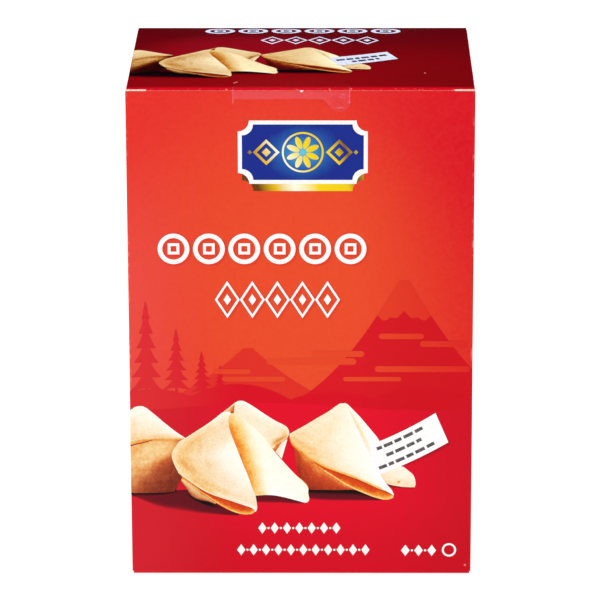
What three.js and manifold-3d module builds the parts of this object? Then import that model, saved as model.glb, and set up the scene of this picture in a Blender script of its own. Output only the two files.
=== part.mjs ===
// A shut tuck-end folding carton for wrapped cookies, with the clear film tab that seals its lid.
// Millimetres, +Z up, front panel facing -Y, origin at the middle of the base.

import * as THREE from 'three';
import { mergeVertices } from 'three/addons/utils/BufferGeometryUtils.js';
import Module from 'manifold-3d';

// ---- driving dimensions ----

const PACK_WIDTH = 130;
const PACK_DEPTH = 100;
const PACK_HEIGHT = 192; // at the folds round the lid
const LID_RISE = 2.3; // the wraps inside push the middle of the lid up into a shallow dome
const BOARD = 0.6; // thickness of the folding boxboard
const WALL_FOLD = 0.8; // outer radius of the folds between wall panels, and of the dust flaps
const TUCK_FOLD = 1.0; // outer radius of the folds that the two closures turn over
const END_SIDE_GAP = 0.4; // each closure panel is this much narrower than the pack, on either side
const RAW_EDGE_DROP = 0.8; // how far a wall's cut edge stays below the closure that it borders
const TUCK_GAP = 0.15; // hairline between that wall and the tucked-in flap
const TUCK_GAP_DEPTH = 4;
const SLIT_LENGTH = 7.8; // slit locks at both ends of a tuck fold leave the panel flat there
const SLIT_LAP = 0.3; // how far the flat slit ends reach over the wall's cut edge
const SEAM_SETBACK = 0.9; // the glued side seam's cut edge, measured from the back panel

const TAB_WIDTH = 43.6;
const TAB_CENTRE_X = -3.3;
const TAB_ON_LID = 12;
const TAB_ON_FRONT = 11;
const TAB_FILM = 0.1;
const TAB_CLEARANCE = 0.05; // glue line between the film and the board
const TAB_CORNER = 1.5;

const ARC_STEPS = 6;
const DOME_STEPS_ACROSS = 18;
const DOME_STEPS_ALONG = 14;
const TAB_STEPS_ON_LID = 5;

// ---- places worked out from them ----

const RIGHT = PACK_WIDTH / 2;
const LEFT = -RIGHT;
const BACK = PACK_DEPTH / 2;
const FRONT = -BACK;
const PAST = 20; // how far a cutting tool runs past what it cuts
const TUCK_FACE = FRONT + BOARD + TUCK_GAP; // outer face of the flap tucked in behind the front panel
const LID_FRONT = TUCK_FACE + TUCK_FOLD; // the lid's top face runs from here
const LID_BACK = BACK - TUCK_FOLD; // to here

const wasm = await Module();
wasm.setup();

// ---- from three.js geometry to solids and back ----

function solidFrom(geometry) {
  geometry.deleteAttribute('normal');
  geometry.deleteAttribute('uv');
  const merged = mergeVertices(geometry, 1e-5);
  return new wasm.Manifold(new wasm.Mesh({
    numProp: 3,
    vertProperties: new Float32Array(merged.attributes.position.array),
    triVerts: new Uint32Array(merged.index.array),
  }));
}

function geometryFrom(solid) {
  const mesh = solid.getMesh();
  const geometry = new THREE.BufferGeometry();
  geometry.setAttribute('position', new THREE.BufferAttribute(new Float32Array(mesh.vertProperties), 3));
  geometry.setIndex(new THREE.BufferAttribute(new Uint32Array(mesh.triVerts), 1));
  geometry.computeVertexNormals();
  return geometry;
}

// ---- outlines and prisms ----

const AXIS_X = new THREE.Vector3(1, 0, 0);
const AXIS_Y = new THREE.Vector3(0, 1, 0);
const AXIS_Z = new THREE.Vector3(0, 0, 1);
const ACROSS_THE_PACK = new THREE.Matrix4().makeBasis(AXIS_Y, AXIS_Z, AXIS_X);
const THROUGH_THE_PACK = new THREE.Matrix4().makeBasis(AXIS_X, AXIS_Z, AXIS_Y.clone().negate());

function extrude(outline, length) {
  return new THREE.ExtrudeGeometry(outline, { depth: length, bevelEnabled: false, curveSegments: ARC_STEPS });
}

// An outline in X and Y, standing from bottom to top.
function upright(outline, bottom, top) {
  return solidFrom(extrude(outline, top - bottom).translate(0, 0, bottom));
}

// An outline in Y and Z, running from one X to another.
function across(outline, from, to) {
  return solidFrom(extrude(outline, to - from).applyMatrix4(ACROSS_THE_PACK).translate(from, 0, 0));
}

// An outline in X and Z, running from one Y to another.
function through(outline, from, to) {
  return solidFrom(extrude(outline, to - from).applyMatrix4(THROUGH_THE_PACK).translate(0, to, 0));
}

// A rectangle from (left, low) to (right, high) with its own radius at each corner, going
// round from the lower left one anticlockwise.
function roundedRectangle(left, low, right, high, radii) {
  const [lowLeft, lowRight, highRight, highLeft] = radii;
  const outline = new THREE.Shape();
  outline.moveTo(left + lowLeft, low);
  outline.lineTo(right - lowRight, low);
  corner(outline, right - lowRight, low + lowRight, lowRight, -Math.PI / 2);
  outline.lineTo(right, high - highRight);
  corner(outline, right - highRight, high - highRight, highRight, 0);
  outline.lineTo(left + highLeft, high);
  corner(outline, left + highLeft, high - highLeft, highLeft, Math.PI / 2);
  outline.lineTo(left, low + lowLeft);
  corner(outline, left + lowLeft, low + lowLeft, lowLeft, Math.PI);
  return outline;
}

function corner(outline, centreX, centreY, radius, startAngle) {
  if (radius > 0) {
    outline.absarc(centreX, centreY, radius, startAngle, startAngle + Math.PI / 2, false);
  }
}

function box(low, high) {
  return upright(roundedRectangle(low[0], low[1], high[0], high[1], [0, 0, 0, 0]), low[2], high[2]);
}

// ---- the carton ----

// The four walls in plan. The left wall ends in a cut edge just short of the back panel, which
// folds round under it as the glue flap.
function wallOutline() {
  const flapFace = LEFT + BOARD;
  const outline = new THREE.Shape();
  outline.moveTo(LEFT + WALL_FOLD, FRONT);
  outline.lineTo(RIGHT - WALL_FOLD, FRONT);
  corner(outline, RIGHT - WALL_FOLD, FRONT + WALL_FOLD, WALL_FOLD, -Math.PI / 2);
  outline.lineTo(RIGHT, BACK - WALL_FOLD);
  corner(outline, RIGHT - WALL_FOLD, BACK - WALL_FOLD, WALL_FOLD, 0);
  outline.lineTo(flapFace + WALL_FOLD, BACK);
  corner(outline, flapFace + WALL_FOLD, BACK - WALL_FOLD, WALL_FOLD, Math.PI / 2);
  outline.lineTo(flapFace, BACK - SEAM_SETBACK);
  outline.lineTo(LEFT, BACK - SEAM_SETBACK);
  outline.lineTo(LEFT, FRONT + WALL_FOLD);
  corner(outline, LEFT + WALL_FOLD, FRONT + WALL_FOLD, WALL_FOLD, Math.PI);
  return outline;
}

// Walls and dust flaps: the flaps fold in from the side walls, one board below each end.
function wallsAndDustFlaps() {
  const folds = roundedRectangle(LEFT, BOARD, RIGHT, PACK_HEIGHT - BOARD, Array(4).fill(WALL_FOLD));
  return upright(wallOutline(), 0, PACK_HEIGHT).intersect(through(folds, FRONT - PAST, BACK + PAST));
}

// The closure panel, drawn for the top end: hinged on the back panel, folded down behind the front one.
function closurePanel() {
  const profile = roundedRectangle(
    TUCK_FACE, PACK_HEIGHT - TUCK_FOLD, BACK, PACK_HEIGHT, [0, 0, TUCK_FOLD, TUCK_FOLD]);
  return across(profile, LEFT + END_SIDE_GAP, RIGHT - END_SIDE_GAP);
}

// How far the lid stands above its folds: a parabola from front to back, level across the middle
// and running out to nothing at the cut edges.
function lidRise(x, y) {
  const along = (y - LID_FRONT) / (LID_BACK - LID_FRONT);
  const outwards = x / (RIGHT - END_SIDE_GAP);
  return LID_RISE * 4 * along * (1 - along) * (1 - outwards ** 4);
}

// The dome on the lid: a flat block whose top is lifted point by point.
function lidDome() {
  const width = 2 * (RIGHT - END_SIDE_GAP);
  const block = new THREE.BoxGeometry(
    width, LID_BACK - LID_FRONT, BOARD, DOME_STEPS_ACROSS, DOME_STEPS_ALONG, 1);
  block.translate(0, (LID_BACK + LID_FRONT) / 2, PACK_HEIGHT - BOARD / 2);
  const points = block.attributes.position;
  for (let i = 0; i < points.count; i += 1) {
    if (points.getZ(i) > PACK_HEIGHT - BOARD / 2) {
      points.setZ(i, PACK_HEIGHT + lidRise(points.getX(i), points.getY(i)));
    }
  }
  return solidFrom(block);
}

// What is cut away along the tuck: the front panel stops below the lid, and a hairline runs behind it.
function tuckClearance() {
  const innerFace = FRONT + BOARD;
  const aboveRawEdge = box(
    [LEFT - PAST, FRONT - PAST, PACK_HEIGHT - RAW_EDGE_DROP],
    [RIGHT + PAST, TUCK_FACE, PACK_HEIGHT + PAST]);
  const hairline = box(
    [LEFT + BOARD + END_SIDE_GAP, innerFace, PACK_HEIGHT - TUCK_GAP_DEPTH],
    [RIGHT - BOARD - END_SIDE_GAP, TUCK_FACE, PACK_HEIGHT + PAST]);
  return aboveRawEdge.add(hairline);
}

// The lid's flat end beside a slit lock, whose cut edge shows above the front panel.
function slitEnd(side) {
  const outer = side * (RIGHT - END_SIDE_GAP);
  const inner = side * (RIGHT - SLIT_LENGTH);
  return box(
    [Math.min(outer, inner), FRONT + SLIT_LAP, PACK_HEIGHT - BOARD],
    [Math.max(outer, inner), LID_FRONT, PACK_HEIGHT]);
}

// The base closes the same way with the blank reversed: hinged in front, tucked at the back.
function turnedToBase(solid) {
  return solid.rotate([180, 0, 0]).translate([0, 0, PACK_HEIGHT]);
}

function cartonSolid() {
  let solid = wallsAndDustFlaps();
  for (const toEnd of [(piece) => piece, turnedToBase]) {
    solid = solid.subtract(toEnd(tuckClearance()));
    for (const piece of [closurePanel(), slitEnd(-1), slitEnd(1)]) {
      solid = solid.add(toEnd(piece));
    }
  }
  return solid.add(lidDome());
}

// ---- the clear sealing tab ----

// The film's inner face from the front panel up round the fold and back over the domed lid, with
// its outer face at the film's thickness.
function filmLine(offset) {
  const line = [];
  const centreY = FRONT + TUCK_FOLD;
  const centreZ = PACK_HEIGHT - TUCK_FOLD;
  line.push(new THREE.Vector2(FRONT - offset, PACK_HEIGHT - TAB_ON_FRONT));
  for (let i = 0; i <= ARC_STEPS; i += 1) {
    const angle = Math.PI - (i / ARC_STEPS) * (Math.PI / 2);
    const reach = TUCK_FOLD + offset;
    line.push(new THREE.Vector2(centreY + reach * Math.cos(angle), centreZ + reach * Math.sin(angle)));
  }
  const lastY = FRONT + TAB_ON_LID;
  for (let i = 0; i <= TAB_STEPS_ON_LID; i += 1) {
    const y = LID_FRONT + (i / TAB_STEPS_ON_LID) * (lastY - LID_FRONT);
    line.push(new THREE.Vector2(y, PACK_HEIGHT + offset + lidRise(0, y)));
  }
  return line;
}

function tabStrip() {
  const inner = filmLine(TAB_CLEARANCE);
  const outer = filmLine(TAB_CLEARANCE + TAB_FILM).reverse();
  const profile = new THREE.Shape([...inner, ...outer]);
  return across(profile, TAB_CENTRE_X - TAB_WIDTH / 2, TAB_CENTRE_X + TAB_WIDTH / 2);
}

function tabSolid() {
  const left = TAB_CENTRE_X - TAB_WIDTH / 2;
  const right = TAB_CENTRE_X + TAB_WIDTH / 2;
  const onFront = roundedRectangle(
    left, PACK_HEIGHT - TAB_ON_FRONT, right, PACK_HEIGHT + PAST, [TAB_CORNER, TAB_CORNER, 0, 0]);
  const onLid = roundedRectangle(
    left, FRONT - PAST, right, FRONT + TAB_ON_LID, [0, 0, TAB_CORNER, TAB_CORNER]);
  return tabStrip()
    .intersect(through(onFront, FRONT - PAST, BACK))
    .intersect(upright(onLid, 0, PACK_HEIGHT + PAST));
}

// ---- the scene graph ----

const printedBoard = new THREE.MeshStandardMaterial({ color: 0xd8222e, roughness: 0.45, metalness: 0 });
const clearFilm = new THREE.MeshStandardMaterial({ color: 0xf4f1ee, roughness: 0.12, metalness: 0 });

function named(name, solid, material) {
  const mesh = new THREE.Mesh(geometryFrom(solid), material);
  mesh.name = name;
  return mesh;
}

const pack = new THREE.Group();
pack.add(named('carton', cartonSolid(), printedBoard));
pack.add(named('closure_seal', tabSolid(), clearFilm));

export default pack;
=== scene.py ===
"""A shut folding carton for wrapped fortune cookies, printed all round and sealed with a clear film tab."""

from bisect import bisect_left
from math import atan2, copysign, cos, pi, radians, sin

import bmesh
import bpy
from mathutils import Matrix, Vector
from mathutils.geometry import interpolate_bezier


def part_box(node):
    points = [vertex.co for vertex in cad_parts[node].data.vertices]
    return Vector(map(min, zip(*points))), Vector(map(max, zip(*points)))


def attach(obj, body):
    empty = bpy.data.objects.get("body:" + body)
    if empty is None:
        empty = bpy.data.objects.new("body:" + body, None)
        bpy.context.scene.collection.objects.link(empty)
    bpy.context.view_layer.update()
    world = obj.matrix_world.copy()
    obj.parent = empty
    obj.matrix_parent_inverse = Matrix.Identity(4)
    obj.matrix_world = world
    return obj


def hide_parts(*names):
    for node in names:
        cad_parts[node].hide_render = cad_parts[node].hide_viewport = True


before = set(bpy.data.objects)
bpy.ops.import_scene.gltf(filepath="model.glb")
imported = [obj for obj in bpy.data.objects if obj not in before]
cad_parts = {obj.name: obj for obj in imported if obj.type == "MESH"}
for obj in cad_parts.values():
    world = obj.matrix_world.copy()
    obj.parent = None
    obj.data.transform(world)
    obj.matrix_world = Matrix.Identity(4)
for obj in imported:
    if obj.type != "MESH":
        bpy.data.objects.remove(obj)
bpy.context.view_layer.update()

# ==== studio ====
# A long lens looks slightly down on the pack from in front. The pack stands on a pale
# tabletop under an even white sky, with soft lamps above it and on either side.

CAMERA_PLACE = (0.0129, -1.4667, 0.5511)
CAMERA_DOWN = radians(17.28)
CAMERA_TURN = radians(0.533)
CAMERA_TILT = radians(-0.145)
LAMP_AIM = (0.0, 0.0, 0.1)

scene = bpy.context.scene
scene.view_settings.view_transform = "Standard"

camera = bpy.data.objects.new("camera", bpy.data.cameras.new("camera"))
camera.data.lens = 236.3
camera.data.sensor_width = 36.0
camera.matrix_world = (
    Matrix.Translation(CAMERA_PLACE)
    @ Matrix.Rotation(CAMERA_TURN, 4, "Z")
    @ Matrix.Rotation(pi / 2 - CAMERA_DOWN, 4, "X")
    @ Matrix.Rotation(CAMERA_TILT, 4, "Z")
)
scene.collection.objects.link(camera)
scene.camera = camera


class Shade:
    """A value in a material's nodes: sums on it add Math nodes, and node adds any other node."""

    def __init__(self, tree, socket=None):
        self.tree = tree
        self.socket = socket

    def node(self, kind, settings=None, sockets=None, output=0):
        """A new node of a kind, its settings made first, then its sockets' values or links."""
        made = self.tree.nodes.new(kind)
        for name, value in (settings or {}).items():
            if name == "stops":
                self.set_stops(made.color_ramp, value)
            else:
                setattr(made, name, value)
        for name, value in (sockets or {}).items():
            if isinstance(value, Shade):
                self.tree.links.new(value.socket, made.inputs[name])
            else:
                made.inputs[name].default_value = value
        return Shade(self.tree, made.outputs[output] if made.outputs else None)

    def set_stops(self, ramp, stops):
        """Gives a ramp its stops, each a position and a colour."""
        while len(ramp.elements) < len(stops):
            ramp.elements.new(1.0)
        for element, (position, tint) in zip(ramp.elements, stops):
            element.position = position
            element.color = tint

    def maths(self, operation, first, second):
        """One Math node on two values."""
        return self.node("ShaderNodeMath", {"operation": operation}, {0: first, 1: second})

    def __add__(self, other):
        return self.maths("ADD", self, other)

    def __radd__(self, other):
        return self.maths("ADD", other, self)

    def __sub__(self, other):
        return self.maths("SUBTRACT", self, other)

    def __rsub__(self, other):
        return self.maths("SUBTRACT", other, self)

    def __mul__(self, other):
        return self.maths("MULTIPLY", self, other)

    def __rmul__(self, other):
        return self.maths("MULTIPLY", other, self)

    def __truediv__(self, other):
        return self.maths("DIVIDE", self, other)

    def __pow__(self, other):
        return self.maths("POWER", self, other)

    def __abs__(self):
        return self.maths("ABSOLUTE", self, 0.0)

    def rising(self, low, high):
        """0 below low, 1 above high, and a smooth step between; it falls where low is the larger."""
        settings = {"interpolation_type": "SMOOTHSTEP"}
        if low > high:
            return 1.0 - self.rising(high, low)
        return self.node("ShaderNodeMapRange", settings, {"Value": self, "From Min": low, "From Max": high})

    def mixed(self, first, second):
        """The colour that goes from first to second as this value goes from 0 to 1."""
        return self.node("ShaderNodeMix", {"data_type": "RGBA"}, {0: self, 6: first, 7: second}, output=2)

    def ramp(self, stops):
        """The colour that the stops give this value."""
        return self.node("ShaderNodeValToRGB", {"stops": stops}, {0: self})


def rgb(red, green, blue):
    """A screen colour of 0 to 255 as the linear colour that a node takes."""
    shares = [level / 255 for level in (red, green, blue)]
    return [((share + 0.055) / 1.055) ** 2.4 if share > 0.04 else share / 12.92 for share in shares] + [1.0]


def new_finish(name):
    """An empty material, and the Shade that its nodes are made from."""
    material = bpy.data.materials.new(name)
    material.use_nodes = True
    material.node_tree.nodes.clear()
    return material, Shade(material.node_tree)


def surface(shade, looks):
    """The Principled shader with these sockets, led to the material's output."""
    shader = shade.node("ShaderNodeBsdfPrincipled", sockets=looks)
    shade.node("ShaderNodeOutputMaterial", sockets={"Surface": shader})


def speckle(shade, point, size, detail=2.0):
    """Noise about 0.5 with features of that size in the point's own unit."""
    return shade.node("ShaderNodeTexNoise", sockets={"Vector": point, "Scale": 1 / size, "Detail": detail})


tabletop, shade = new_finish("tabletop")
place = shade.node("ShaderNodeTexCoord", output=3)
cloudy = speckle(shade, place, 0.4).rising(0.3, 0.7)
surface(shade, {
    "Base Color": cloudy.mixed(rgb(176, 176, 177), rgb(180, 180, 180)), "Roughness": 0.9,
    "Emission Color": (1.0, 1.0, 1.0, 1.0), "Emission Strength": 0.75})
bm = bmesh.new()
bmesh.ops.create_grid(bm, x_segments=1, y_segments=1, size=8.0)
bmesh.ops.translate(bm, vec=(0.0, 0.0, -0.0001), verts=bm.verts)
floor = bpy.data.objects.new("floor", bpy.data.meshes.new("floor"))
bm.to_mesh(floor.data)
bm.free()
floor.data.materials.append(tabletop)
scene.collection.objects.link(floor)

sky = bpy.data.worlds.new("sky")
sky.use_nodes = True
sky.node_tree.nodes["Background"].inputs["Color"].default_value = (1.0, 1.0, 1.0, 1.0)
sky.node_tree.nodes["Background"].inputs["Strength"].default_value = 0.65
sky.cycles_visibility.glossy = False
scene.world = sky


def soft_lamp(name, place, size, power):
    """A square soft box at place, turned to the pack."""
    lamp = bpy.data.lights.new(name, "AREA")
    lamp.size = size
    lamp.energy = power
    holder = bpy.data.objects.new(name, lamp)
    holder.location = place
    holder.rotation_euler = (Vector(LAMP_AIM) - Vector(place)).to_track_quat("-Z", "Y").to_euler()
    scene.collection.objects.link(holder)


soft_lamp("lamp_left", (-1.3, -0.9, 1.3), size=0.9, power=6.0)
soft_lamp("lamp_right", (1.4, -0.5, 1.2), size=0.9, power=4.5)
soft_lamp("lamp_above", (0.0, 0.1, 1.7), size=1.0, power=12.0)

# ==== walls and dust flaps ====
# The four walls are one strip of folding boxboard, printed outside and grey-white inside. It is
# folded round, glued down the rear left corner, and its dust flaps are folded in at both ends.

MM = 0.001
BOARD = 0.6
WALL_FOLD = 0.8  # outer radius of the folds between walls
LID_RISE = 2.3  # height of the lid's dome over its folds
CUT_EDGE_DROP = 0.4  # the front wall's cut edge stays this far below the lid
END_STEP = 0.3  # and this much lower again under the lid's flat ends
SLIT_LENGTH = 7.8  # how long those ends are
HINGE_DROP = 1.0  # the lid's hinge fold starts this far below the lid
FLAP_DEPTH = 30.0
GLUE_FLAP = 15.0
GLUE_LINE = 0.05
FOLD_GLINT = (0.5, -49.9, 191.6)  # where a white highlight is painted on the fold
SEAM_SETBACK = 0.9
FOLD_STEPS = 5
SHARP = radians(40)  # a sharper angle between faces is a cut edge

RIGHT, BACK = [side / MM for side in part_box("carton")[1][:2]]
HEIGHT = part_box("carton")[1][2] / MM - LID_RISE
SIDE_FOLD_TOP = HEIGHT - BOARD - WALL_FOLD
SLIT = RIGHT - SLIT_LENGTH  # how far from the middle the lid's flat ends start


def piece_from(name, bm, finishes):
    """A bmesh in millimetres becomes a piece of the pack in metres."""
    bmesh.ops.scale(bm, vec=(MM, MM, MM), verts=bm.verts)
    mesh = bpy.data.meshes.new(name)
    bm.to_mesh(mesh)
    bm.free()
    for finish in finishes:
        mesh.materials.append(finish)
    piece = bpy.data.objects.new(name, mesh)
    scene.collection.objects.link(piece)
    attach(piece, "root")
    return piece


def thicken(piece, thickness, outwards, inner=0, rim=0):
    """Gives a single sheet its thickness, and keeps only its cut edges sharp."""
    solidify = piece.modifiers.new("thickness", "SOLIDIFY")
    solidify.thickness = thickness * MM
    solidify.offset = 1.0 if outwards else -1.0
    solidify.use_even_offset = True
    solidify.material_offset = inner
    solidify.material_offset_rim = rim
    evaluated = piece.evaluated_get(bpy.context.evaluated_depsgraph_get())
    mesh = bpy.data.meshes.new_from_object(evaluated)
    piece.modifiers.clear()
    piece.data = mesh
    bm = bmesh.new()
    bm.from_mesh(mesh)
    for face in bm.faces:
        face.smooth = True
    for edge in bm.edges:
        edge.smooth = edge.calc_face_angle(0.0) < SHARP
    bm.to_mesh(mesh)
    bm.free()


def board_piece(name, bm, finishes):
    """A piece of the carton itself: its first finish outside, the second inside, the third on its edges."""
    piece = piece_from(name, bm, finishes)
    thicken(piece, BOARD, outwards=False, inner=1, rim=2)
    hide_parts("carton")


def edges_where(bm, test):
    """The edges whose two ends pass a test on their place."""
    return [edge for edge in bm.edges if all(test(vert.co) for vert in edge.verts)]


def extruded(bm, edges):
    """New vertices of faces drawn out from the edges, for the caller to move."""
    made = bmesh.ops.extrude_edge_only(bm, edges=edges)["geom"]
    return [item for item in made if isinstance(item, bmesh.types.BMVert)]


def near(first, second):
    """Whether two sizes agree to a hundredth of a millimetre."""
    return abs(first - second) < 0.01


plan = [
    (-RIGHT + BOARD + GLUE_LINE, BACK - GLUE_FLAP),
    (-RIGHT + BOARD + GLUE_LINE, BACK),
    (RIGHT, BACK),
    (RIGHT, -BACK),
    (-RIGHT, -BACK),
    (-RIGHT, BACK - SEAM_SETBACK),
]
bm = bmesh.new()
line = [bm.verts.new((x, y, HEIGHT - SIDE_FOLD_TOP)) for x, y in plan]
strip = [bm.edges.new(pair) for pair in zip(line, line[1:])]
bmesh.ops.translate(bm, vec=(0, 0, 2 * SIDE_FOLD_TOP - HEIGHT), verts=extruded(bm, strip))
folds = [edge for edge in bm.edges if len(edge.link_faces) == 2]
bmesh.ops.bevel(
    bm, geom=folds, affect="EDGES", offset=WALL_FOLD, segments=FOLD_STEPS, profile=0.5, material=-1)
bmesh.ops.recalc_face_normals(bm, faces=bm.faces)
for end, up in ((SIDE_FOLD_TOP, 1), (HEIGHT - SIDE_FOLD_TOP, -1)):
    hinge_wall, open_wall = BACK * up, -BACK * up
    hinge_edge = end + up * (HEIGHT - HINGE_DROP - SIDE_FOLD_TOP)
    open_edge = end + up * (HEIGHT - CUT_EDGE_DROP - SIDE_FOLD_TOP)
    for wall, level in ((hinge_wall, hinge_edge), (open_wall, open_edge)):
        along_wall = edges_where(bm, lambda co: near(co.y, wall) and near(co.z, end))
        for vert in extruded(bm, along_wall):
            vert.co.z = level
    for place in (-SLIT, -SLIT - END_STEP, SLIT, SLIT + END_STEP):
        top_strip = [face for face in bm.faces if near(face.calc_center_median().y, open_wall)
                     and up * (face.calc_center_median().z - end) > 0]
        edges = dict.fromkeys(edge for face in top_strip for edge in face.edges)
        corners = dict.fromkeys(vert for face in top_strip for vert in face.verts)
        bmesh.ops.bisect_plane(
            bm, geom=[*top_strip, *edges, *corners], plane_co=(place, 0, 0), plane_no=(1, 0, 0))
    lowered_from = SLIT + END_STEP / 2
    for vert in bm.verts:
        if near(vert.co.y, open_wall) and near(vert.co.z, open_edge) and abs(vert.co.x) > lowered_from:
            vert.co.z -= up * END_STEP
    for side in (-1, 1):
        side_edge = edges_where(bm, lambda co: near(co.x, side * RIGHT) and near(co.z, end))
        turn = bmesh.ops.spin(
            bm, geom=side_edge, cent=(side * (RIGHT - WALL_FOLD), 0, end), axis=(0, -side * up, 0),
            angle=pi / 2, steps=FOLD_STEPS)
        flap_fold = [item for item in turn["geom_last"] if isinstance(item, bmesh.types.BMEdge)]
        bmesh.ops.translate(bm, vec=(-side * FLAP_DEPTH, 0, 0), verts=extruded(bm, flap_fold))
bmesh.ops.recalc_face_normals(bm, faces=bm.faces)
front = min(bm.faces, key=lambda face: face.calc_center_median().y)
if front.normal.y > 0:
    bmesh.ops.reverse_faces(bm, faces=bm.faces)


def pack_finish(name):
    """An empty material, its Shade, the point on the pack and its three coordinates in millimetres."""
    finish, shade = new_finish(name)
    place = shade.node("ShaderNodeTexCoord", output=3)
    point = shade.node("ShaderNodeVectorMath", {"operation": "SCALE"}, {"Vector": place, "Scale": 1 / MM})
    axes = [shade.node("ShaderNodeSeparateXYZ", sockets={0: point}, output=axis) for axis in range(3)]
    return finish, shade, point, *axes


def painted(shade, attribute):
    """A value that the mesh carries at its corners."""
    return shade.node("ShaderNodeAttribute", {"attribute_name": attribute}, output=2)


def paper_relief(shade, point, strength=0.25):
    """The board's fine grain with a slow unevenness under it."""
    height = speckle(shade, point, 0.9) * 0.3 + speckle(shade, point, 26.0, 0.0) * 4.0
    sockets = {"Strength": strength, "Distance": 0.02 * MM, "Height": height}
    return shade.node("ShaderNodeBump", sockets=sockets)


PRINT_GLOSS = 0.1  # specular level of the varnished print
SHEEN = 0.0112  # how much white the varnish lays over the ink beneath it


def ink(red, green, blue):
    """The ink that shows as this screen colour under the varnish."""
    return [max(level - SHEEN, 0.0) for level in rgb(red, green, blue)[:3]] + [1.0]


def printed_surface(shade, point, colour, roughness=0.42, gloss=PRINT_GLOSS):
    """Offset print under a thin satin varnish."""
    patchy = speckle(shade, point, 7.0) * 0.12 + (roughness - 0.06)
    surface(shade, {
        "Base Color": colour, "Roughness": patchy, "Specular IOR Level": gloss,
        "Normal": paper_relief(shade, point)})


def pack_red(x, y, z):
    """The red ground: scarlet on top, orange glow half way up, deeper to the right, painted pink sheen at
    upper left.
    """
    across = ((x - 8.0 + (z - 104.0) * 0.2) / 62.0) ** 2.0 + (y / 50.0) ** 2.0 - 1.0
    glow = across * 0.9 + ((z - 104.0) / 80.0) ** 2.0
    plain = x.rising(-5.0, 66.0).mixed(ink(229, 52, 47), ink(217, 22, 41))
    lit = x.rising(12.0, 66.0).mixed(ink(232, 78, 46), ink(225, 56, 42))
    # Painted sheen: a pink reflection laid into the ink towards the upper left.
    painted_sheen = x.rising(-30.0, -66.0) * z.rising(185.0, 110.0)
    glowing = glow.rising(1.6, 0.0).mixed(plain, lit)
    return (painted_sheen * 0.8).mixed(glowing, ink(232, 80, 71))


def bare_or_glint_spot(shade, point, spot, radius):
    """1 round a spot and 0 beyond it: board rubbed bare, and at the fold a painted white highlight."""
    away = shade.node("ShaderNodeVectorMath", {"operation": "DISTANCE"}, {0: point, 1: spot}, output=1)
    return away.rising(radius, radius * 0.55)


wall_print, shade, point, x, y, z = pack_finish("wall_print")
corner_wear = (abs(x) - (RIGHT - 1.0)).rising(0.0, 0.8) * (abs(y) - (BACK - 1.0)).rising(0.0, 0.8)
scuffed = corner_wear * speckle(shade, point, 3.0, 4.0).rising(0.52, 0.75)
mottled = speckle(shade, point, 1.6).rising(0.2, 0.8) * 0.05
red = mottled.mixed(pack_red(x, y, z), rgb(255, 120, 90))
red = (scuffed * 0.5).mixed(red, rgb(246, 190, 170))
# The fold also gets a small painted white highlight.
printed_surface(shade, point, bare_or_glint_spot(shade, point, FOLD_GLINT, 0.75).mixed(red, rgb(255, 226, 220)))

inner_board, shade, point, *_ = pack_finish("inner_board")
fibres = speckle(shade, point, 0.8, 4.0).rising(0.3, 0.7)
surface(shade, {"Base Color": fibres.mixed(rgb(203, 198, 188), rgb(222, 218, 209)), "Roughness": 0.85})

cut_edge, shade, point, *_ = pack_finish("cut_edge")
fibres = speckle(shade, point, 0.5, 4.0).rising(0.3, 0.7)
surface(shade, {"Base Color": fibres.mixed(rgb(232, 205, 186), rgb(255, 246, 236)), "Roughness": 0.9})

# The wall's cut edge: real fibres, painted red as painted shade from the lid's fold above it.
shaded_edge, shade, point, *_ = pack_finish("shaded_edge")
fibres = speckle(shade, point, 0.6, 4.0).rising(0.35, 0.7)
fibres_in_painted_shade = fibres.mixed(rgb(214, 58, 54), rgb(238, 128, 112))
# A painted white highlight where the edge meets the fold.
painted_glint = bare_or_glint_spot(shade, point, FOLD_GLINT, 0.9)
surface(shade, {"Base Color": painted_glint.mixed(fibres_in_painted_shade, rgb(255, 236, 232)), "Roughness": 0.85})

board_piece("carton_walls", bm, [wall_print, inner_board, shaded_edge])

# ==== lid ====
# The lid is a closure panel of the same board: hinged on the back wall, its tuck flap pushed in behind
# the front. Slit locks at both ends of the tuck fold leave short flat ends with a bare cut edge.

END_SIDE_GAP = 0.4
TUCK_FOLD = 1.0
TUCK_GAP = 0.15
TUCK_DEPTH = 18.0
SLIT_LAP = 0.3
LID_CELLS = (43, 32)
LID_HALF_WIDTH = RIGHT - END_SIDE_GAP
LID_FRONT = -BACK + BOARD + TUCK_GAP + TUCK_FOLD
LID_BACK = BACK - TUCK_FOLD
LID_MARKS = ((-24.6, -41.9, 192.5), (-23.8, -41.0, 192.6), (46.7, -28.8, 193.0))  # rubbed bare


def lid_rise(x, y):
    """The wraps inside push the lid up: a parabola from front to back, dying out at the sides."""
    along = (y - LID_FRONT) / (LID_BACK - LID_FRONT)
    return LID_RISE * 4 * along * (1 - along) * (1 - (x / LID_HALF_WIDTH) ** 4)


def cut_sheet(bm, along, places):
    """Cuts a flat sheet across X, where along is 0, or Y, where it is 1, at each place."""
    direction = Vector((1 - along, along, 0))
    for place in places:
        everything = [*bm.verts, *bm.edges, *bm.faces]
        bmesh.ops.bisect_plane(
            bm, geom=everything, dist=1e-4, plane_co=direction * place, plane_no=direction)


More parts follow.
